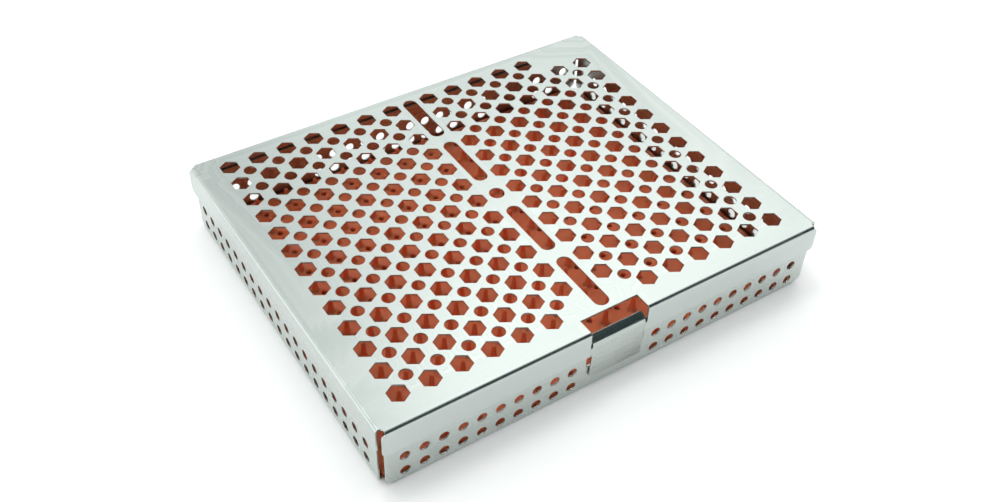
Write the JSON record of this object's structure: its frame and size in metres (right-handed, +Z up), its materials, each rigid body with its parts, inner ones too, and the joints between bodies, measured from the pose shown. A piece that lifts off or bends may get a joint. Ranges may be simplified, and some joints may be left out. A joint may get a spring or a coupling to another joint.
{
  "type": "sterilization container",
  "caption": "Flat perforated steel container with a silicone mat in its tray, a lid hinged at the back and a spring latch at the front.",
  "frame": {"origin": "on the surface that the container stands on, under the middle of the tray", "axes": "+Z up, +X along the long side, -Y towards the latch, +Y towards the hinges"},
  "size_m": [0.1892, 0.1573, 0.0294],
  "materials": {
    "tray_steel": "fine brushed stainless sheet",
    "lid_steel": "fine brushed stainless sheet, grain along X",
    "latch_steel": "fine brushed stainless sheet",
    "hinge_steel": "fine brushed stainless sheet, rolled",
    "pin_steel": "bright drawn wire",
    "silicone": "matt translucent silicone"
  },
  "bodies": {
    "base": {"base_tray": "tray_steel", "silicone_mat": "silicone", "hinge_leaf_base_left": "hinge_steel", "hinge_leaf_base_right": "hinge_steel", "hinge_pin_left": "pin_steel", "hinge_pin_right": "pin_steel"},
    "lid": {"lid_panel": "lid_steel", "hinge_leaf_lid_left": "hinge_steel", "hinge_leaf_lid_right": "hinge_steel"},
    "latch": {"latch_tongue": "latch_steel"}
  },
  "joints": [
    {"name": "lid_hinge", "type": "hinge", "parent": "base", "child": "lid", "pos_m": [0, 0.07865, 0.0161], "axis": [-1, 0, 0], "range_deg": [0, 180]},
    {"name": "latch_press", "type": "hinge", "parent": "lid", "child": "latch", "pos_m": [0, -0.07675, 0.01975], "axis": [-1, 0, 0], "range_deg": [0, 4], "stiffness_Nm_per_rad": 0.5}
  ]
}
